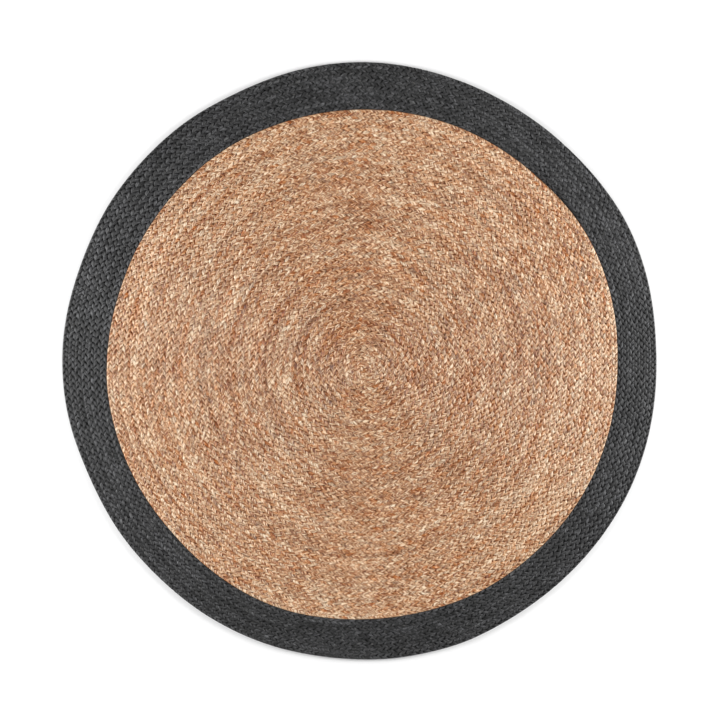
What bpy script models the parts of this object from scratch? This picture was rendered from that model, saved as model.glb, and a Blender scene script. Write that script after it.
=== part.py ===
"""Round jute rug: a natural braid coiled on itself, with a charcoal braid coiled round it as a border.

Metres, +Z up. The rug lies on the floor at z = 0, with the middle of its outline at the origin and the
photograph's top edge towards +Y. Each piece is one braid, wound anticlockwise and sewn edge to edge, so its
upper side is one surface with a rib for each turn and a shallow seam between the turns.
"""

import math

import bmesh
import bpy
import numpy as np

# Driving sizes
BRAID_WIDTH = 0.012
NATURAL_TURNS = 43
BORDER_TURNS = 7
THICKNESS = 0.008
SEAM_DEPTH = 0.002
PIECE_GAP = 0.0003
EDGE_ROUNDING = 0.002
# Both braids run out in this direction, in a tail that lies against the next turn for this part of a turn.
TAIL_END = math.radians(50.0)
TAIL_TURNS = 1.0 / 16.0

# A turn is drawn with this many straight steps, which leaves the rim within 1.3 mm of a true curve.
STEPS_PER_TURN = 48
# Each turn has its inner seam, its crown and its outer seam.
STEPS_ACROSS = 2
WELD_DISTANCE = 0.00001
# Joints of the surface sharper than this stay crisp when it is shaded smooth.
CRISP_ANGLE = math.radians(50.0)

# The natural braid was started off the middle, and its turns ease back towards the rug's own middle.
COIL_START = np.array((0.011, -0.017))
NATURAL_MIDDLE = np.array((0.0036, -0.0061))
RUG_MIDDLE = np.array((0.0, 0.0))

# How far the hand-sewn edges stand out from a true circle.
# Columns: direction in degrees anticlockwise from +X, distance in millimetres, minus for inwards.
NATURAL_EDGE = (
    (0, -3.5),
    (8, 0.0),
    (25, 6.0),
    (36, 5.0),
    (47, 0.0),
    (70, 0.0),
    (92, -1.5),
    (112, -1.5),
    (121, 1.0),
    (140, -2.0),
    (162, -3.0),
    (185, 3.5),
    (200, 1.0),
    (222, -2.5),
    (250, 5.5),
    (268, -1.5),
    (285, -3.0),
    (300, 0.0),
    (310, -2.5),
    (330, -0.5),
    (350, -2.5),
)
RUG_EDGE = (
    (3, -6.0),
    (15, 0.5),
    (29, 5.0),
    (40, 0.0),
    (56, -2.0),
    (74, 0.5),
    (89, 5.0),
    (103, 2.0),
    (116, -4.0),
    (126, 0.5),
    (137, -1.5),
    (147, 1.0),
    (160, -2.0),
    (175, 4.5),
    (190, 3.5),
    (203, -5.5),
    (218, -1.0),
    (225, -3.5),
    (240, 1.0),
    (254, 2.0),
    (265, -0.5),
    (278, 4.0),
    (284, 1.5),
    (291, 4.5),
    (299, -1.0),
    (312, -1.0),
    (333, 0.5),
    (346, -1.5),
)


def edge_bulge(edge, angle):
    """How far an edge stands out from its circle, in metres, read round the whole turn from its table."""
    directions, distances = np.array(edge, float).T
    return np.interp(np.degrees(angle) % 360.0, directions, distances, period=360.0) / 1000.0


def rug_point(row, angle):
    """The place in plan of a point this many rows from the coil's start, as an array of x and y.

    In the natural coil the turns take on the edge's shape with the square of the row, and across the border
    they change evenly from the natural edge's shape to the rug's.
    """
    natural_share = np.clip(row / NATURAL_TURNS, 0.0, 1.0) ** 2
    border_share = np.clip((row - NATURAL_TURNS) / BORDER_TURNS, 0.0, 1.0)
    middle = (
        np.outer(1.0 - natural_share, COIL_START)
        + np.outer(natural_share - border_share, NATURAL_MIDDLE)
        + np.outer(border_share, RUG_MIDDLE)
    )
    bulge = (natural_share - border_share) * edge_bulge(NATURAL_EDGE, angle)
    bulge += border_share * edge_bulge(RUG_EDGE, angle)
    radius = row * BRAID_WIDTH + bulge
    return middle + radius[:, None] * np.column_stack((np.cos(angle), np.sin(angle)))


def outline_middle():
    """The middle of the rug's outline, which becomes the origin."""
    angle = TAIL_END + np.linspace(0.0, 2.0 * math.pi, STEPS_PER_TURN, endpoint=False)
    outline = rug_point(np.full(STEPS_PER_TURN, float(NATURAL_TURNS + BORDER_TURNS)), angle)
    return (outline.min(axis=0) + outline.max(axis=0)) / 2.0


def outer_edge_row(turned):
    """How many rows out the braid's outer edge is, once it has turned this many times round the rug.

    Near the middle it moves out evenly, by a row a turn. Towards the border each turn keeps to its own row
    until the tail's direction, and only there moves out to the next, so that the coil's rim is a closed ring.
    """
    part_of_turn = turned % 1.0
    held_back = np.minimum(part_of_turn, (1.0 - part_of_turn) * (1.0 - TAIL_TURNS) / TAIL_TURNS)
    return turned - held_back * np.clip(turned / NATURAL_TURNS, 0.0, 1.0) ** 4


def wound_braid(first_row, last_row):
    """A flat strip wound into a coil from one row to another, with the edges of its turns joined.

    The strip's inner edge follows its outer edge a turn behind. Both stop at the first and the last row, so
    the strip starts and ends as a taper, as the sewn braid does.
    """
    turns = last_row - first_row + 1
    strip = bmesh.new()
    bmesh.ops.create_grid(strip, x_segments=turns * STEPS_PER_TURN, y_segments=STEPS_ACROSS, size=1.0)
    along, across = (np.array([vertex.co[:2] for vertex in strip.verts]).T + 1.0) / 2.0
    turned = first_row + np.round(along * turns * STEPS_PER_TURN) / STEPS_PER_TURN
    inner_edge = np.clip(outer_edge_row(turned - 1.0), first_row, last_row)
    outer_edge = np.clip(outer_edge_row(turned), first_row, last_row)
    row = inner_edge + across * (outer_edge - inner_edge)
    plan = rug_point(row, TAIL_END + 2.0 * math.pi * turned) - outline_middle()
    crown = (1.0 - np.abs(2.0 * across - 1.0)) * (outer_edge - inner_edge)
    height = THICKNESS - SEAM_DEPTH * (1.0 - crown)
    for vertex, (x, y), z in zip(strip.verts, plan, height):
        vertex.co = (x, y, z)
    bmesh.ops.remove_doubles(strip, verts=strip.verts, dist=WELD_DISTANCE)
    return strip


def edge_loops(surface):
    """The open edges of a surface, followed round as one list for each closed loop, the smallest first."""
    loops = []
    followed = set()
    for edge in surface.edges:
        loop = []
        vertex = edge.verts[0]
        while edge.is_boundary and edge not in followed:
            followed.add(edge)
            loop.append(edge)
            vertex = edge.other_vert(vertex)
            edge = next(other for other in vertex.link_edges if other.is_boundary and other != edge)
        if loop:
            loops.append(loop)
    return sorted(loops, key=lambda loop: loop[0].verts[0].co.xy.length)


def move_out(loop, distance):
    """Moves an edge loop away from the rug's middle, or towards it where the distance is minus."""
    for vertex in {vertex for edge in loop for vertex in edge.verts}:
        reach = vertex.co.xy.length
        vertex.co.xy *= (reach + distance) / reach


def wall_down(surface, loop, height, outwards=0.0):
    """Adds a wall from an edge loop down to a height, leaning outwards, and returns its lower edge loop."""
    made = bmesh.ops.extrude_edge_only(surface, edges=loop)["geom"]
    lower = [item for item in made if isinstance(item, bmesh.types.BMEdge)]
    for vertex in {vertex for edge in lower for vertex in edge.verts}:
        vertex.co.z = height
    move_out(lower, outwards)
    return lower


def plain_jute(name, colour):
    """Matt jute yarn of one colour, given as linear red, green and blue."""
    material = bpy.data.materials.new(name)
    material.use_nodes = True
    shader = material.node_tree.nodes["Principled BSDF"]
    shader.inputs["Base Color"].default_value = (*colour, 1.0)
    shader.inputs["Roughness"].default_value = 0.85
    shader.inputs["Metallic"].default_value = 0.0
    material.diffuse_color = (*colour, 1.0)
    return material


def finished(name, surface, material, collection):
    """One closed body with its faces outwards, as an object in the rug's collection."""
    bmesh.ops.recalc_face_normals(surface, faces=surface.faces)
    mesh = bpy.data.meshes.new(name)
    surface.to_mesh(mesh)
    surface.free()
    mesh.materials.append(material)
    mesh.shade_smooth()
    mesh.set_sharp_from_angle(angle=CRISP_ANGLE)
    piece = bpy.data.objects.new(name, mesh)
    collection.objects.link(piece)
    return piece


def natural_centre(collection):
    """The natural coil: a ribbed disc with a straight rim and a flat underside."""
    disc = wound_braid(0, NATURAL_TURNS)
    (rim,) = edge_loops(disc)
    move_out(rim, -PIECE_GAP / 2.0)
    foot = wall_down(disc, rim, 0.0)
    bmesh.ops.contextual_create(disc, geom=foot)
    jute = plain_jute("natural_jute", (0.50, 0.29, 0.17))
    return finished("natural_centre", disc, jute, collection)


def charcoal_border(collection):
    """The border coil: a ribbed ring round the natural coil, with a rounded outer edge."""
    ring = wound_braid(NATURAL_TURNS, NATURAL_TURNS + BORDER_TURNS)
    inner, outer = edge_loops(ring)
    move_out(inner, PIECE_GAP / 2.0)
    move_out(outer, -EDGE_ROUNDING)
    inner_foot = wall_down(ring, inner, 0.0)
    widest = wall_down(ring, outer, THICKNESS / 2.0, outwards=EDGE_ROUNDING)
    outer_foot = wall_down(ring, widest, 0.0, outwards=-EDGE_ROUNDING)
    bmesh.ops.bridge_loops(ring, edges=inner_foot + outer_foot)
    jute = plain_jute("charcoal_jute", (0.054, 0.054, 0.054))
    return finished("charcoal_border", ring, jute, collection)


def build():
    for old in list(bpy.data.objects):
        bpy.data.objects.remove(old, do_unlink=True)
    collection = bpy.data.collections.new("round_jute_rug")
    bpy.context.scene.collection.children.link(collection)
    natural_centre(collection)
    charcoal_border(collection)


build()
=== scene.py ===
"""The looks of the round jute rug: two coiled three-strand braids, one undyed and one dyed charcoal.

Each strand is modelled as it runs over and under the other two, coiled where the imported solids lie.
"""

import math

import bpy
import numpy as np
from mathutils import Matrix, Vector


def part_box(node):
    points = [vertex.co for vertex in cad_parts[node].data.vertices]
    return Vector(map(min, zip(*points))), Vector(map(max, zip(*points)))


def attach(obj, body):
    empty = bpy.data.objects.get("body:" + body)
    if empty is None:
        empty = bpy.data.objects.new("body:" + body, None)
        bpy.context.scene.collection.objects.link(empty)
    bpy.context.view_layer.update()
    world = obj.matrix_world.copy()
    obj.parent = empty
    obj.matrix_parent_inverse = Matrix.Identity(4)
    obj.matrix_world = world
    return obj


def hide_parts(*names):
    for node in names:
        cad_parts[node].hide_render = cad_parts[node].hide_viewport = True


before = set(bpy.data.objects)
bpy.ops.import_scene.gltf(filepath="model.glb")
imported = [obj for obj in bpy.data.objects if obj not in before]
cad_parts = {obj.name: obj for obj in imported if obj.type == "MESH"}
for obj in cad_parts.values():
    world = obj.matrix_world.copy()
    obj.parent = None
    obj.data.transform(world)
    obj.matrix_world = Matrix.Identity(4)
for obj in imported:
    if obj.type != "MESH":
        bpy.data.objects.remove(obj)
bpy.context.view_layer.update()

# ---------------------------------------------------------------------------------------------------------
# The coil. One jute braid is wound flat on itself, and a charcoal one is wound on round it. The rows are
# hand-sewn, so their edges wander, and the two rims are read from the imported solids.

MM = 0.001
FULL_TURN = 2.0 * math.pi
BRAID_WIDTH = 12.0 * MM
THICKNESS = float(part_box("natural_centre")[1][2])
MID_HEIGHT = THICKNESS / 2.0
# The first turn was started off the rug's middle.
COIL_START = np.array((11.0, -17.0)) * MM
# Both braids run out in this direction, in a tail that lies against the next turn for this part of a turn.
TAIL_END = math.radians(50.0)
TAIL_TURNS = 1.0 / 16.0
# The rims are read in this many directions, from the vertices within this distance of their height.
RIM_STEPS = 1440
RIM_REACH = 0.1 * MM
# The part of a row that is squeezed where a coil ends.
SQUEEZED = 0.06


def rim_of(node, height):
    """A node's rim as the distance from the rug's middle in evenly spaced directions.

    The rim's corners are the vertices at this height. Distances are read straight between them, and each is
    then the mean over a corner's spacing, taken twice, so that the rim bends as braid does.
    """
    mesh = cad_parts[node].data
    points = np.empty(len(mesh.vertices) * 3, np.float32)
    mesh.vertices.foreach_get("co", points)
    x, y, z = points.reshape(-1, 3).astype(float).T
    at_rim = np.abs(z - height) < RIM_REACH
    direction, first = np.unique(np.arctan2(y, x)[at_rim].round(5), return_index=True)
    distance = np.hypot(x, y)[at_rim][first]
    even = np.arange(RIM_STEPS) * FULL_TURN / RIM_STEPS
    rim = np.interp(even, direction, distance, period=FULL_TURN)
    half_spacing = RIM_STEPS // len(direction) // 2
    for _ in range(2):
        rim = sum(np.roll(rim, shift) for shift in range(-half_spacing, half_spacing + 1))
        rim /= 2 * half_spacing + 1
    return rim


NATURAL_RIM = rim_of("natural_centre", 0.0)
RUG_RIM = rim_of("charcoal_border", MID_HEIGHT)
NATURAL_ROWS = round(NATURAL_RIM.mean() / BRAID_WIDTH)
RUG_ROWS = round(RUG_RIM.mean() / BRAID_WIDTH)


def outer_edge_row(turned):
    """How many rows out the braid's outer edge is, once it has turned this many times round the rug.

    Near the middle it moves out evenly, by a row a turn. Towards the border each turn keeps to its own row
    until the tail's direction, and only there moves out to the next, so that the coil's rim is a closed ring.
    It goes from the one to the other with the fourth power of its share of the way out.
    """
    part_of_turn = turned % 1.0
    held_back = np.minimum(part_of_turn, (1.0 - part_of_turn) * (1.0 - TAIL_TURNS) / TAIL_TURNS)
    return turned - held_back * np.clip(turned / NATURAL_ROWS, 0.0, 1.0) ** 4


def pressed_in(row, rows):
    """Rows kept between the first and the last: the last part of a row before each is an exponential ease
    towards it, so that what would stand out past the coil's edge is squeezed up to it.
    """
    first, last = rows
    over = np.maximum(row - last + SQUEEZED, 0.0) / SQUEEZED
    row = np.minimum(row, last - SQUEEZED) + SQUEEZED * (1.0 - np.exp(-over))
    under = np.maximum(first + SQUEEZED - row, 0.0) / SQUEEZED
    return np.maximum(row, first + SQUEEZED) - SQUEEZED * (1.0 - np.exp(-under))


def coil_place(turned, across, height, rows):
    """Where a point of a coiled braid is, given in the braid's own terms, as an array of x, y and z.

    turned is how many turns round the rug it is, across its distance outwards from the braid's middle line,
    and height that above it. rows are the first and the last row of the coil, which the braid stays between.
    A row is a circle round the coil's start, plus, with the square of the row, what the natural rim stands
    off such a circle. Across the border it changes evenly from the natural rim to the rug's. Where the braid
    is narrowed it is thinner too, by the square root.
    """
    inner = np.clip(outer_edge_row(turned - 1.0), *rows)
    outer = np.clip(outer_edge_row(turned), *rows)
    row = pressed_in(inner + (across / BRAID_WIDTH + 0.5) * (outer - inner), rows)
    direction = (TAIL_END + FULL_TURN * turned) % FULL_TURN
    even = np.arange(RIM_STEPS + 1) * FULL_TURN / RIM_STEPS
    natural_rim = np.interp(direction, even, np.append(NATURAL_RIM, NATURAL_RIM[0]))
    rug_rim = np.interp(direction, even, np.append(RUG_RIM, RUG_RIM[0]))
    share = np.clip(row / NATURAL_ROWS, 0.0, 1.0)
    border_share = np.clip((row - NATURAL_ROWS) / (RUG_ROWS - NATURAL_ROWS), 0.0, None)
    distance = share * NATURAL_ROWS * BRAID_WIDTH
    distance += share**2 * (natural_rim - NATURAL_ROWS * BRAID_WIDTH)
    distance += border_share * (rug_rim - natural_rim)
    x = distance * np.cos(direction) + (1.0 - share**2) * COIL_START[0]
    y = distance * np.sin(direction) + (1.0 - share**2) * COIL_START[1]
    z = MID_HEIGHT + height * np.sqrt(outer - inner)
    return np.stack((x, y, z), axis=-1)


# ---------------------------------------------------------------------------------------------------------
# The natural braid. Three strands of undyed jute are plaited by hand into a flat braid. Each is a loose
# bundle of fibre, hardly twisted, that swells where it lies on top and is pinched where the others cross.

STRANDS = 3
# The lobes on the braid's face are this far apart, along each of its two columns.
LOBE_SPACING = 12.3 * MM
# How far a strand's middle swings to either side of the braid's, and how far it rises above and dips below.
STRAND_SWING = 6.2 * MM
STRAND_RISE = 2.1 * MM
# A strand crosses the braid at this angle to it, and then runs along its edge.
STRAND_LEAN = math.radians(45.0)
# How far the strand's highest part is drawn from the edge towards the braid's middle, in radians of phase.
EARLY_RISE = 0.6
STRAND_HALF_WIDTH = 4.2 * MM
STRAND_HALF_THICKNESS = 1.95 * MM
# How much of its width it gains in the braid's middle and loses along the edges.
SPREADING = 0.30
# How much wider it is spread on the braid's underside, where the lobes lie flat on the floor.
SPREADING_BELOW = 0.30
# The strand's size for the fibre pattern round it.
STRAND_RADIUS = 2.7 * MM
# Rings of each half period, in degrees of phase: four over the lobe that shows, and the fifth underneath.
RING_PHASES = np.radians((0.0, 28.0, 56.0, 90.0, 135.0))
# A ring's corners, in degrees: four over its outer face and one inside, first for the half periods in which
# the strand is outwards of the braid's middle, then for those in which it is inwards.
RING_CORNERS = np.radians(((0.0, 60.0, 120.0, 180.0, 270.0), (0.0, 90.0, 180.0, 240.0, 300.0)))
# How much thicker than its outer face it is at each of those: it swells into the hollow between the others.
SWELLING = np.array(((1.0, 1.0, 1.0, 1.0, 2.1), (1.0, 2.1, 1.0, 1.0, 1.0)))
# A braid gives by this share of its length, so that its lobes nest between those of the row inside it. The
# grip is how sharply: the larger, the sooner the pull is at its strongest.
GIVE = 0.15
GRIP = 4.0
# The outer of two rows is the longer one, so it is sewn on ahead by this part of a lobe.
LEAD = 0.15
# What the hand leaves uneven: the share that each measure varies by, and the length of braid that it takes.
UNEVEN_SWING = (0.05, 15.0 * MM)
UNEVEN_RISE = (0.08, 11.0 * MM)
UNEVEN_WIDTH = (0.07, 13.0 * MM)
UNEVEN_THICKNESS = (0.06, 17.0 * MM)
UNEVEN_LOBES = (0.04, 14.0 * MM)
UNEVEN_TENSION = (0.02, 100.0 * MM)
# The whole braid lifts and sways by the first distance, over the second.
BRAID_LIFT = (0.15 * MM, 50.0 * MM)
BRAID_SWAY = (0.35 * MM, 22.0 * MM)
# The braid's middle line is worked out at this many steps in each turn.
STEPS_A_TURN = 360
# The coil starts once it has turned this much, and leaves off the last bit of its tail, which is too thin.
STARTS_AT = 0.12
TAIL_TIP = 0.01
NATURAL_COIL = (0, NATURAL_ROWS)
NATURAL_TURNED = (STARTS_AT, NATURAL_ROWS + 1.0 - TAIL_TIP)
NATURAL_SEED = 4


def eased(part):
    """How far something is changed when it is this part of the way from 0 to 1, as a smoothstep: three times
    the part's square, less twice its cube.
    """
    return part * part * (3.0 - 2.0 * part)


def wander(along, amount, step, seed):
    """A smooth random number about 0, with a spread of this amount, that changes over this step of length.

    Normal random numbers stand a step apart, and it eases from one to the next. The seed's numbers are the
    coil's, the strand's where each has its own, and one for each thing that varies.
    """
    knots = np.random.default_rng(seed).normal(size=int(along.max() / step) + 3)
    place = np.clip(along, 0.0, None) / step
    before = place.astype(int)
    ease = eased(place - before)
    return amount * (knots[before] * (1.0 - ease) + knots[before + 1] * ease)


def patches(place, amount, arcs, row_span, seed):
    """A smooth random number about 0, with a spread of this amount, in patches that lie along the rows.

    Normal random numbers stand on a polar grid, with this many arcs round it and this width of rows across,
    and it eases between the four nearest.
    """
    x, y = place[..., 0] - COIL_START[0], place[..., 1] - COIL_START[1]
    grid = np.random.default_rng(seed).normal(size=(int(RUG_RIM.max() / row_span) + 4, arcs))
    out = np.hypot(x, y) / row_span
    turn = np.arctan2(y, x) / FULL_TURN % 1.0 * arcs
    ring, arc = out.astype(int), turn.astype(int) % arcs
    ease_out, ease_turn = eased(out - ring), eased(turn - arc)
    near = grid[ring, arc] * (1.0 - ease_turn) + grid[ring, (arc + 1) % arcs] * ease_turn
    far = grid[ring + 1, arc] * (1.0 - ease_turn) + grid[ring + 1, (arc + 1) % arcs] * ease_turn
    return amount * (near * (1.0 - ease_out) + far * ease_out)


def running_total(parts):
    """The sum of the parts before each of them, and after the last."""
    return np.append(0.0, np.cumsum(parts))


def path_length(points):
    """How far it is along a path to each of its points: the running total of its straight steps."""
    return running_total(np.linalg.norm(np.diff(points, axis=0), axis=1))


def middle_line(rows, turned, seed):
    """The braid's middle line between two turns, as its length so far, the turns and the lobes at each step.

    Lobes follow each other at their spacing, drawn together or apart by random unevenness, and by the pull
    of the row inside. The pull is the give times the hyperbolic tangent of the grip times the sine of how
    many lobes the row is behind the one inside, less the lead. It holds them in step until it is at its
    strongest.
    """
    steps = np.arange(*turned, 1.0 / STEPS_A_TURN)
    length = path_length(coil_place(steps, 0.0, 0.0, rows))
    gained = np.diff(length) / LOBE_SPACING
    uneven = wander(length, *UNEVEN_TENSION, (seed, 0)) + wander(length, *UNEVEN_LOBES, (seed, 1))
    lobes = [0.0]
    for count, gain in enumerate(gained):
        inside = lobes[count - STEPS_A_TURN] if count >= STEPS_A_TURN else lobes[count]
        pull = GIVE * math.tanh(GRIP * math.sin(FULL_TURN * (inside - lobes[count] - LEAD)))
        lobes.append(lobes[count] + gain * (1.0 + pull + uneven[count]))
    return length, steps, np.array(lobes)


def strand_middle(phase, swing, rise):
    """Where the strand's middle is across the braid and above its middle, for each phase.

    Across, it crosses the braid in a straight line at the strand's lean, which a sixth-power mean bends to
    the swing. Above, it is the rise times the sine of twice the phase, which is put forward by the early
    rise times its own sine. The strand goes outwards above the braid and inwards below.
    """
    straight = np.arcsin(np.sin(phase)) / FULL_TURN * STRANDS * LOBE_SPACING * math.tan(STRAND_LEAN)
    across = straight / (1.0 + (straight / swing) ** 6) ** (1.0 / 6.0)
    return across, rise * np.sin(2.0 * phase + EARLY_RISE * np.sin(2.0 * phase))


def strand_rings(number, line, rows, seed):
    """The rings of one strand: their corners, as an array of rings by corners by x, y and z, then the yarn
    coordinates of the corners, in metres along and round the strand, the length of braid up to each ring,
    and whether it is on the inner side.

    The phase goes through a full turn in as many lobes as there are strands, and the strands are one lobe
    apart. A ring is half an ellipse over the face that looks away from the braid, with one corner inside. It
    stands square to the strand, whose run is the change of its middle's place over a degree either way.
    The rings roll with the strand's path and the fibre doesn't, so the yarn coordinates take out the roll.
    """
    length, steps, lobes = line
    halves = int(2.0 * lobes[-1] / STRANDS) + 2 * STRANDS
    phase = (np.arange(halves)[:, None] * math.pi + RING_PHASES).ravel()
    inwards = np.repeat(np.arange(halves) % 2, len(RING_PHASES))
    lobe = phase / FULL_TURN * STRANDS - number
    kept = (lobe > 0.0) & (lobe < lobes[-1])
    phase = phase[kept]
    inwards = inwards[kept]
    corner = RING_CORNERS[inwards]
    along = np.interp(lobe[kept], lobes, length)
    swing = STRAND_SWING * (1.0 + wander(along, *UNEVEN_SWING, (seed, number, 0)))
    rise = STRAND_RISE * (1.0 + wander(along, *UNEVEN_RISE, (seed, number, 1)))
    across, above = strand_middle(phase, swing, rise)
    spread = 1.0 + SPREADING * np.cos(2.0 * phase) + SPREADING_BELOW * np.clip(-above / rise, 0.0, 1.0)
    width = STRAND_HALF_WIDTH * spread * (1.0 + wander(along, *UNEVEN_WIDTH, (seed, number, 2)))
    thick = STRAND_HALF_THICKNESS * (1.0 + wander(along, *UNEVEN_THICKNESS, (seed, number, 3)))
    lift = wander(along, *BRAID_LIFT, (seed, 6))
    sway = wander(along, *BRAID_SWAY, (seed, 7))
    degree = math.radians(1.0)
    after, before = (strand_middle(phase + turn, swing, rise) for turn in (degree, -degree))
    forwards = np.full_like(phase, 2.0 * degree * STRANDS * LOBE_SPACING / FULL_TURN)
    path = np.stack((forwards, after[0] - before[0], after[1] - before[1]), axis=-1)
    facing = np.stack((np.zeros_like(phase), -path[:, 2], path[:, 1]), axis=-1)
    path /= np.linalg.norm(path, axis=1, keepdims=True)
    facing /= np.linalg.norm(facing, axis=1, keepdims=True)
    beside = np.cross(path, facing)
    middle = np.stack((along, sway + across, lift + above), axis=-1)
    corners = middle[:, None] + (width[:, None] * np.cos(corner))[..., None] * beside[:, None]
    corners = corners + (thick[:, None] * SWELLING[inwards] * np.sin(corner))[..., None] * facing[:, None]
    forward, across, height = np.moveaxis(corners, -1, 0)
    height = np.clip(height, -MID_HEIGHT, MID_HEIGHT)
    place = coil_place(np.interp(forward, length, steps), across, height, rows)
    way = np.unwrap(np.arctan2(facing[:, 1], facing[:, 2]))
    roll = running_total(np.diff(way) * (path[1:, 0] + path[:-1, 0]) / 2.0)
    turn_round = np.append(corner, corner[:, :1] + FULL_TURN, axis=1) + roll[:, None]
    yarn = np.stack(
        np.broadcast_arrays(path_length(middle)[:, None], turn_round * STRAND_RADIUS),
        axis=-1,
    )
    return place, yarn, along, inwards


# For the baked colours, the part of a line's height left free above and below the strand, and the size of a
# cap, as a part of its place.
BAKE_MARGIN = 0.02
BAKE_CAP = 0.4


def tube_mesh(name, place, yarn, tone, warmth, mirrored):
    """A closed tube through rings of corners, with a flat cap at each end.

    The walls after the rings that are mirrored start from another corner, so that they are split into
    triangles along the mirrored diagonal.

    It has two UV maps. The one called yarn is for the fibre: the yarn coordinates of each ring's corners and,
    once more, of its first. The one called OFBake lays the strand in even lines over the unit square, for
    the baked colours, and its caps take the two places after the last ring. tone and warmth are numbers for
    each ring, kept as attributes of those names.
    """
    rings, sides = place.shape[:2]
    ring, side = np.divmod(np.arange((rings - 1) * sides), sides)
    beside = (side + 1) % sides
    walls = np.stack((ring * sides + side, ring * sides + beside), axis=-1)
    walls = np.concatenate((walls, walls[:, ::-1] + sides), axis=1)
    other = mirrored[ring].astype(bool)
    walls[other] = np.roll(walls[other], 1, axis=1)
    caps = np.append(np.arange(sides)[::-1], (rings - 1) * sides + np.arange(sides))
    mesh = bpy.data.meshes.new(name)
    mesh.vertices.add(rings * sides)
    mesh.vertices.foreach_set("co", place.astype(np.float32).ravel())
    mesh.loops.add(walls.size + caps.size)
    mesh.loops.foreach_set("vertex_index", np.append(walls.ravel(), caps))
    mesh.polygons.add(len(walls) + 2)
    starts = np.append(np.arange(len(walls)) * 4, walls.size + np.arange(2) * sides)
    mesh.polygons.foreach_set("loop_start", starts)
    mesh.update(calc_edges=True)
    mesh.shade_smooth()

    hoop = np.append(np.arange(sides), 0)
    chords = np.linalg.norm(np.diff(place[:, hoop], axis=1), axis=2).mean(axis=0)
    round_it = running_total(chords)
    side_walls = np.stack((side, side + 1, side + 1, side), axis=-1)
    ring_walls = np.stack((ring, ring, ring + 1, ring + 1), axis=-1)
    yarn_walls = yarn[ring_walls, side_walls]
    lines = max(1, round(math.sqrt(yarn[-1, 0, 0] / round_it[-1])))
    in_line = math.ceil((rings + 1) / lines)
    line, start = np.divmod(ring, in_line)
    up_line = BAKE_MARGIN + (1.0 - 2.0 * BAKE_MARGIN) * round_it[side_walls] / round_it[-1]
    bake_u = (start[:, None] + ring_walls - ring[:, None]) / in_line
    bake_v = (line[:, None] + up_line) / lines
    bake_walls = np.stack((bake_u, bake_v), axis=-1)
    turn = np.arange(sides) * FULL_TURN / sides
    disc = np.stack((np.cos(turn), np.sin(turn)), axis=-1)
    bake_caps = []
    yarn_caps = []
    for spot, way in ((rings - 1, -1), (rings, 1)):
        cap_line, cap_start = divmod(spot, in_line)
        middle = np.array(((cap_start + 0.5) / in_line, (cap_line + 0.5) / lines))
        bake_caps.append(middle + disc[::way] * np.array((BAKE_CAP / in_line, BAKE_CAP / lines)))
        yarn_caps.append(disc[::way] * round_it[-1] / FULL_TURN)
    for map_name, walls_uv, caps_uv in (("yarn", yarn_walls, yarn_caps), ("OFBake", bake_walls, bake_caps)):
        walls_uv[other] = np.roll(walls_uv[other], 1, axis=1)
        all_uv = np.concatenate((walls_uv.reshape(-1, 2), *caps_uv))
        layer = mesh.uv_layers.new(name=map_name, do_init=False)
        layer.uv.foreach_set("vector", all_uv.astype(np.float32).ravel())
    for attribute, values in (("tone", tone), ("warmth", warmth)):
        stored = mesh.attributes.new(attribute, "FLOAT", "POINT")
        stored.data.foreach_set("value", np.repeat(values, sides).astype(np.float32))
    piece = bpy.data.objects.new(name, mesh)
    bpy.context.collection.objects.link(piece)
    return piece


def rgb(code):
    """An sRGB hex colour turned linear: a low value over 12.92, and others by the power 2.4."""
    channels = np.array([int(code[place : place + 2], 16) for place in (1, 3, 5)]) / 255.0
    return (*np.where(channels <= 0.04045, channels / 12.92, ((channels + 0.055) / 1.055) ** 2.4), 1.0)


def node(material, kind, inputs=None, stops=(), **settings):
    """Adds a node to a material with its settings. An input is set, or linked if its value is a socket.

    stops are a colour ramp's positions and colours.
    """
    added = material.node_tree.nodes.new("ShaderNode" + kind)
    for name, value in settings.items():
        setattr(added, name, value)
    for name, value in (inputs or {}).items():
        if isinstance(value, bpy.types.NodeSocket):
            material.node_tree.links.new(value, added.inputs[name])
        else:
            added.inputs[name].default_value = value
    for count, (position, code) in enumerate(stops):
        ramp = added.color_ramp.elements
        stop = ramp[count] if count < 2 else ramp.new(position)
        stop.position = position
        stop.color = rgb(code)
    return added


# A bundle of fibres that shows as a streak along the strand, and how far it stands up. Single fibres are far
# too fine to show. The strand's slight twist lays the streaks at this angle to it.
STREAK_WIDTH = 1.2 * MM
STREAK_LENGTH = 10.0 * MM
STREAK_RELIEF = 0.40 * MM
STREAK_LEAN = math.radians(9.0)
# The noise at the darkest and at the lightest streak.
STREAK_NOISE = (0.3, 0.7)
# A fleck of bark left on the fibre, the noise between which it fades in, and how much it covers.
BARK_WIDTH = 1.4 * MM
BARK_LENGTH = 7.0 * MM
BARK_NOISE = (0.74, 0.80)
BARK_COVER = 0.85
# The heights between which a painted shade fades from the gaps up to the crowns, and those
# between which its shine does.
PAINTED_SHADE_HEIGHTS = (4.4 * MM, 6.9 * MM)
SHINE_HEIGHTS = (5.0 * MM, 7.5 * MM)


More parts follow.
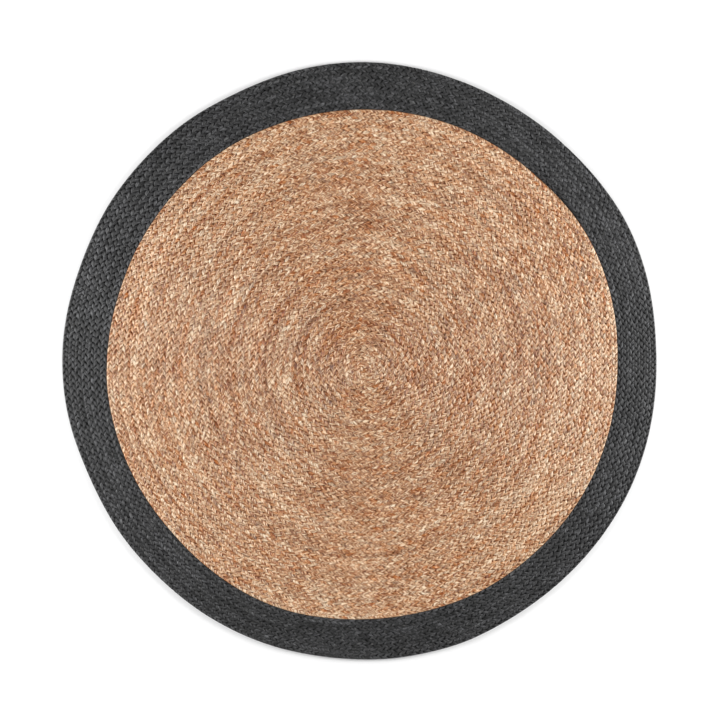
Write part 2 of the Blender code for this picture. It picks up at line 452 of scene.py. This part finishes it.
def jute(name, stops, fleck, streak_tone, painted_shade_depth, warm, roughness, specular, stretch):
    """Jute fibre: a matt, dry plant fibre in streaks along the strand, with flecks of bark.

    The colour comes from a ramp. Its place on the ramp is the strand's tone, plus the streaks, less a painted
    shade that darkens the fibre lower down between the strands, where shade falls. Warmth then adds to its
    saturation and turns its hue towards red, by the two numbers in warm. The streaks stand up a little.
    The fibre shines a little where it is combed flat on the crowns, in a highlight drawn out across it by
    the stretch. The shine fades towards the gaps, where loose ends leave it dull.
    """
    warm_saturation, warm_hue = warm
    material = bpy.data.materials.new(name)
    material.use_nodes = True
    shader = material.node_tree.nodes["Principled BSDF"]
    yarn = node(material, "UVMap", uv_map="yarn").outputs["UV"]
    along_fibre = node(
        material,
        "Mapping",
        {"Vector": yarn, "Rotation": (0.0, 0.0, STREAK_LEAN), "Scale": (STREAK_LENGTH, STREAK_WIDTH, 1.0)},
        vector_type="TEXTURE",
    ).outputs["Vector"]
    streaks = node(
        material,
        "TexNoise",
        {"Vector": along_fibre, "Scale": 1.0, "Detail": 3.0, "Roughness": 0.6},
        noise_dimensions="2D",
    ).outputs["Fac"]
    darkest, lightest = STREAK_NOISE
    streaked = node(
        material,
        "MapRange",
        {
            "Value": streaks,
            "From Min": darkest,
            "From Max": lightest,
            "To Min": -streak_tone,
            "To Max": streak_tone,
        },
    ).outputs["Result"]
    tone = node(material, "Attribute", attribute_name="tone").outputs["Fac"]
    rug_place = node(material, "TexCoord").outputs["Object"]
    height = node(material, "SeparateXYZ", {"Vector": rug_place}).outputs["Z"]
    gap, crown = PAINTED_SHADE_HEIGHTS
    # Painted shade: the colour is darkened lower down between the strands, where shade falls, and so on the
    # underside too.
    painted_shade = node(
        material,
        "MapRange",
        {"Value": height, "From Min": gap, "From Max": crown, "To Min": -painted_shade_depth, "To Max": 0.0},
    ).outputs["Result"]
    toned = node(material, "Math", {0: tone, 1: streaked}, operation="ADD").outputs["Value"]
    place = node(material, "Math", {0: toned, 1: painted_shade}, operation="ADD").outputs["Value"]
    ramp = node(material, "ValToRGB", {"Fac": place}, stops).outputs["Color"]
    warmth = node(material, "Attribute", attribute_name="warmth").outputs["Fac"]
    saturation = node(material, "Math", {0: warmth, 1: warm_saturation, 2: 1.0}, operation="MULTIPLY_ADD")
    hue = node(material, "Math", {0: warmth, 1: -warm_hue, 2: 0.5}, operation="MULTIPLY_ADD")
    colour = node(
        material,
        "HueSaturation",
        {"Color": ramp, "Saturation": saturation.outputs["Value"], "Hue": hue.outputs["Value"]},
    ).outputs["Color"]
    along_bark = node(
        material,
        "Mapping",
        {"Vector": yarn, "Scale": (BARK_LENGTH, BARK_WIDTH, 1.0)},
        vector_type="TEXTURE",
    ).outputs["Vector"]
    bark = node(
        material,
        "TexNoise",
        {"Vector": along_bark, "Scale": 1.0, "Detail": 1.0},
        noise_dimensions="2D",
    ).outputs["Fac"]
    bark_starts, bark_full = BARK_NOISE
    flecked = node(
        material,
        "MapRange",
        {"Value": bark, "From Min": bark_starts, "From Max": bark_full, "To Min": 0.0, "To Max": BARK_COVER},
    ).outputs["Result"]
    # A Mix node's two colours are its inputs 6 and 7, and the mixed colour is its output 2.
    base = node(material, "Mix", {"Factor": flecked, 6: colour, 7: rgb(fleck)}, data_type="RGBA").outputs[2]
    bumpy = node(
        material,
        "Bump",
        {"Height": streaks, "Distance": STREAK_RELIEF, "Strength": 1.0},
    ).outputs["Normal"]
    dull, shiny = SHINE_HEIGHTS
    shine = node(
        material,
        "MapRange",
        {"Value": height, "From Min": dull, "From Max": shiny, "To Min": 0.0, "To Max": specular},
    ).outputs["Result"]
    fibre = node(material, "Tangent", direction_type="UV_MAP", uv_map="yarn").outputs["Tangent"]
    material.node_tree.links.new(base, shader.inputs["Base Color"])
    material.node_tree.links.new(bumpy, shader.inputs["Normal"])
    material.node_tree.links.new(shine, shader.inputs["Specular IOR Level"])
    material.node_tree.links.new(fibre, shader.inputs["Tangent"])
    shader.inputs["Roughness"].default_value = roughness
    shader.inputs["Anisotropic"].default_value = stretch
    shader.inputs["Anisotropic Rotation"].default_value = 0.25
    return material


# Undyed jute, retted, combed and hardly spun: straw to light brown, dry and mostly dull, with a faint gloss
# on the crowns, painted shade that turns the gaps between them warm brown, and near-black flecks of bark.
undyed_jute = jute(
    "undyed_jute",
    stops=(
        (0.00, "#5C280A"),
        (0.22, "#7E451F"),
        (0.42, "#9E6841"),
        (0.62, "#BB895F"),
        (0.82, "#D7AE86"),
        (1.00, "#F3DCBE"),
    ),
    fleck="#2A150B",
    streak_tone=0.54,
    painted_shade_depth=0.34,
    warm=(0.08, 0.004),
    roughness=0.5,
    specular=0.9,
    stretch=0.6,
)

# What makes up the unevenness of a strand's tone, as how much of it and over what length: each lobe or two of
# a strand, each lot of its fibre, the braid over a few lobes, over an arm's length and over a turn or more.
# Last come patches of the rug: how much, how many arcs round it and what width of rows.
LOBE_TONE = (0.85, 9.0 * MM)
LOT_TONE = (0.35, 150.0 * MM)
FEW_LOBES_TONE = (0.25, 60.0 * MM)
ARM_LENGTH_TONE = (0.35, 400.0 * MM)
TURN_TONE = (0.25, 1700.0 * MM)
PATCH_TONE = (0.20, 24, 36.0 * MM)
# The same for its warmth.
LOBE_WARMTH = (0.8, 16.0 * MM)
LOT_WARMTH = (0.6, 140.0 * MM)
# The middle of the natural strands' tone on the material's ramp, and how strongly it varies.
NATURAL_TONE = (0.505, 0.10)
# The jute was paler towards the rim: by this much tone from the middle out.
PALER_OUTWARDS = 0.135


def strand_tone(place, along, number, seed, middle, spread):
    """How light the strand is at each ring, as a place on the material's colour ramp.

    It is the middle tone, plus the spread times the sum of the smooth random numbers listed above.
    """
    return middle + spread * (
        wander(along, *LOBE_TONE, (seed, number, 7))
        + wander(along, *LOT_TONE, (seed, number, 8))
        + wander(along, *FEW_LOBES_TONE, (seed, 9))
        + wander(along, *ARM_LENGTH_TONE, (seed, 10))
        + wander(along, *TURN_TONE, (seed, 11))
        + patches(place.mean(axis=1), *PATCH_TONE, (seed, 12))
    )


def strand_warmth(along, number, seed):
    """How much warmer than usual the strand's colour is at each ring, as two smooth random numbers' sum."""
    return wander(along, *LOBE_WARMTH, (seed, number, 13)) + wander(along, *LOT_WARMTH, (seed, number, 14))


natural_line = middle_line(NATURAL_COIL, NATURAL_TURNED, NATURAL_SEED)
for number in range(STRANDS):
    place, yarn, along, inwards = strand_rings(number, natural_line, NATURAL_COIL, NATURAL_SEED)
    tone = strand_tone(place, along, number, NATURAL_SEED, *NATURAL_TONE)
    tone += PALER_OUTWARDS * np.linalg.norm(place.mean(axis=1)[:, :2], axis=1) / NATURAL_RIM.max()
    warmth = strand_warmth(along, number, NATURAL_SEED)
    strand = tube_mesh(f"natural_strand_{number + 1}", place, yarn, tone, warmth, 1 - inwards)
    strand.data.materials.append(undyed_jute)
    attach(strand, "root")
    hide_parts("natural_centre")

# ---------------------------------------------------------------------------------------------------------
# The natural sewing yarn. A thin twine of the same jute joins the turns edge to edge. It lies in the seam, at
# mid height, where it is drawn into both braids from side to side.

SEWING_HALF_WIDTH = 1.5 * MM
SEWING_STITCH = 6.0 * MM
SEWING_SWAY = 0.6 * MM
SEWING_SIDES = 4
UNEVEN_STITCH = (0.3, 9.0 * MM)
UNEVEN_SEWING_TONE = (0.06, 40.0 * MM)
NATURAL_SEWING_TONE = 0.62


def sewing_rings(turned, rows, seed):
    """The rings of the sewing yarn in the seam outside the braid, as strand_rings gives them.

    It sways to and fro over the seam, and up and down, by as much either way from stitch to stitch. Each ring
    is a square on its corner.
    """
    steps = np.arange(*turned, 1.0 / STEPS_A_TURN)
    length = path_length(coil_place(steps, BRAID_WIDTH / 2.0, 0.0, rows))
    along = np.arange(0.0, length[-1], SEWING_STITCH)
    side = np.where(np.arange(len(along)) % 2, 1.0, -1.0)
    corner = np.arange(SEWING_SIDES) * FULL_TURN / SEWING_SIDES
    swing = SEWING_SWAY * side * (1.0 + wander(along, *UNEVEN_STITCH, (seed, 11)))
    across = BRAID_WIDTH / 2.0 + swing[:, None] + SEWING_HALF_WIDTH * np.cos(corner)
    height = (SEWING_SWAY * np.roll(side, 1))[:, None] - SEWING_HALF_WIDTH * np.sin(corner)
    place = coil_place(np.interp(along, length, steps)[:, None], across, height, rows)
    turn_round = np.arange(SEWING_SIDES + 1) * FULL_TURN / SEWING_SIDES * SEWING_HALF_WIDTH
    yarn = np.stack(np.broadcast_arrays(along[:, None], turn_round), axis=-1)
    return place, yarn, along


place, yarn, along = sewing_rings((1.0, NATURAL_ROWS), NATURAL_COIL, NATURAL_SEED)
tone = NATURAL_SEWING_TONE + wander(along, *UNEVEN_SEWING_TONE, (NATURAL_SEED, 12))
zero = np.zeros_like(tone)
natural_sewing = tube_mesh("natural_sewing_yarn", place, yarn, tone, zero, zero)
natural_sewing.data.materials.append(undyed_jute)
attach(natural_sewing, "root")
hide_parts("natural_centre")

# ---------------------------------------------------------------------------------------------------------
# The charcoal border. The same braid, of jute dyed charcoal grey in the hank, wound on round the natural
# coil for its last rows. It starts behind the natural coil's tail and is sewn on as the other turns are.

CHARCOAL_COIL = (NATURAL_ROWS, RUG_ROWS)
CHARCOAL_TURNED = (NATURAL_ROWS + 1.0 - TAIL_TURNS + TAIL_TIP, RUG_ROWS + 1.0 - TAIL_TIP)
CHARCOAL_SEED = 5
CHARCOAL_TONE = (0.475, 0.09)
CHARCOAL_SEWING_TONE = 0.5

# Jute dyed charcoal: the dye takes unevenly, so the strands differ in grey but hardly in hue. It goes from
# near black in the gaps, by painted shade, to mid grey on the crowns, duller than undyed jute, with paler
# bark.
charcoal_dyed_jute = jute(
    "charcoal_dyed_jute",
    stops=(
        (0.00, "#101010"),
        (0.30, "#1C1C1C"),
        (0.60, "#353536"),
        (1.00, "#666668"),
    ),
    fleck="#5A5753",
    streak_tone=0.42,
    painted_shade_depth=0.32,
    warm=(0.3, 0.0),
    roughness=0.6,
    specular=0.55,
    stretch=0.5,
)

charcoal_line = middle_line(CHARCOAL_COIL, CHARCOAL_TURNED, CHARCOAL_SEED)
for number in range(STRANDS):
    place, yarn, along, inwards = strand_rings(number, charcoal_line, CHARCOAL_COIL, CHARCOAL_SEED)
    tone = strand_tone(place, along, number, CHARCOAL_SEED, *CHARCOAL_TONE)
    warmth = strand_warmth(along, number, CHARCOAL_SEED)
    strand = tube_mesh(f"charcoal_strand_{number + 1}", place, yarn, tone, warmth, 1 - inwards)
    strand.data.materials.append(charcoal_dyed_jute)
    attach(strand, "root")
    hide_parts("charcoal_border")

place, yarn, along = sewing_rings((NATURAL_ROWS + 1.0, RUG_ROWS), CHARCOAL_COIL, CHARCOAL_SEED)
tone = CHARCOAL_SEWING_TONE + wander(along, *UNEVEN_SEWING_TONE, (CHARCOAL_SEED, 12))
zero = np.zeros_like(tone)
charcoal_sewing = tube_mesh("charcoal_sewing_yarn", place, yarn, tone, zero, zero)
charcoal_sewing.data.materials.append(charcoal_dyed_jute)
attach(charcoal_sewing, "root")
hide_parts("charcoal_border")

# ---------------------------------------------------------------------------------------------------------
# The studio. A plain white floor runs out of view, and a large softbox stands low to the left and
# another to the right. The camera looks straight down, as in the photograph.

# Half the floor's side, in metres.
FLOOR_HALF = 6.0
# The softboxes' places and power, in metres and watts, and the light that the white walls send back.
SOFTBOX_SIZE = 1.4
LEFT_SOFTBOX = (-2.5, 0.1, 0.95)
LEFT_WATTS = 85.0
RIGHT_SOFTBOX = (2.5, 0.1, 0.95)
RIGHT_WATTS = 90.0
WALL_LIGHT = 0.37
# The photograph's width in its pixels, and how long one of them is on the rug's upper side.
PHOTO_WIDTH = 720
METRES_PER_PIXEL = 2.017 * MM
SENSOR = 36.0 * MM
LENS = 85.0 * MM
# The outline's middle is this far right of the photograph's middle, and below it, in its pixels.
OUTLINE_RIGHT = -0.7
OUTLINE_BELOW = 0.6

# Matt white paint scatters all light evenly, so the floor is plain white with a soft shadow at the rim.
matt_white_paint = bpy.data.materials.new("matt_white_paint")
matt_white_paint.use_nodes = True
paint = matt_white_paint.node_tree.nodes["Principled BSDF"]
paint.inputs["Base Color"].default_value = rgb("#FCFCFC")
paint.inputs["Roughness"].default_value = 0.9

floor_mesh = bpy.data.meshes.new("floor")
floor_corners = [(x * FLOOR_HALF, y * FLOOR_HALF, 0.0) for x, y in ((-1, -1), (1, -1), (1, 1), (-1, 1))]
floor_mesh.from_pydata(floor_corners, [], [(0, 1, 2, 3)])
floor_mesh.materials.append(matt_white_paint)
floor = bpy.data.objects.new("floor", floor_mesh)
bpy.context.collection.objects.link(floor)


def softbox(name, place, watts):
    """A square area light, turned to face the rug's middle."""
    light = bpy.data.lights.new(name, "AREA")
    light.shape = "SQUARE"
    light.size = SOFTBOX_SIZE
    light.energy = watts
    lamp = bpy.data.objects.new(name, light)
    lamp.location = place
    lamp.rotation_euler = (-lamp.location).to_track_quat("-Z", "Y").to_euler()
    bpy.context.collection.objects.link(lamp)


softbox("left_softbox", LEFT_SOFTBOX, LEFT_WATTS)
softbox("right_softbox", RIGHT_SOFTBOX, RIGHT_WATTS)

walls = bpy.data.worlds.new("studio_walls")
bpy.context.scene.world = walls
walls.use_nodes = True
walls.node_tree.nodes["Background"].inputs["Color"].default_value = (1.0, 1.0, 1.0, 1.0)
walls.node_tree.nodes["Background"].inputs["Strength"].default_value = WALL_LIGHT

camera_data = bpy.data.cameras.new("camera")
camera_data.sensor_width = SENSOR / MM
camera_data.lens = LENS / MM
camera = bpy.data.objects.new("camera", camera_data)
camera_height = THICKNESS + PHOTO_WIDTH * METRES_PER_PIXEL * LENS / SENSOR
camera.location = (-OUTLINE_RIGHT * METRES_PER_PIXEL, OUTLINE_BELOW * METRES_PER_PIXEL, camera_height)
bpy.context.collection.objects.link(camera)
bpy.context.scene.camera = camera
bpy.context.scene.view_settings.view_transform = "Standard"

# ---------------------------------------------------------------------------------------------------------
# The end. The view layer is brought up to date.

bpy.context.view_layer.update()
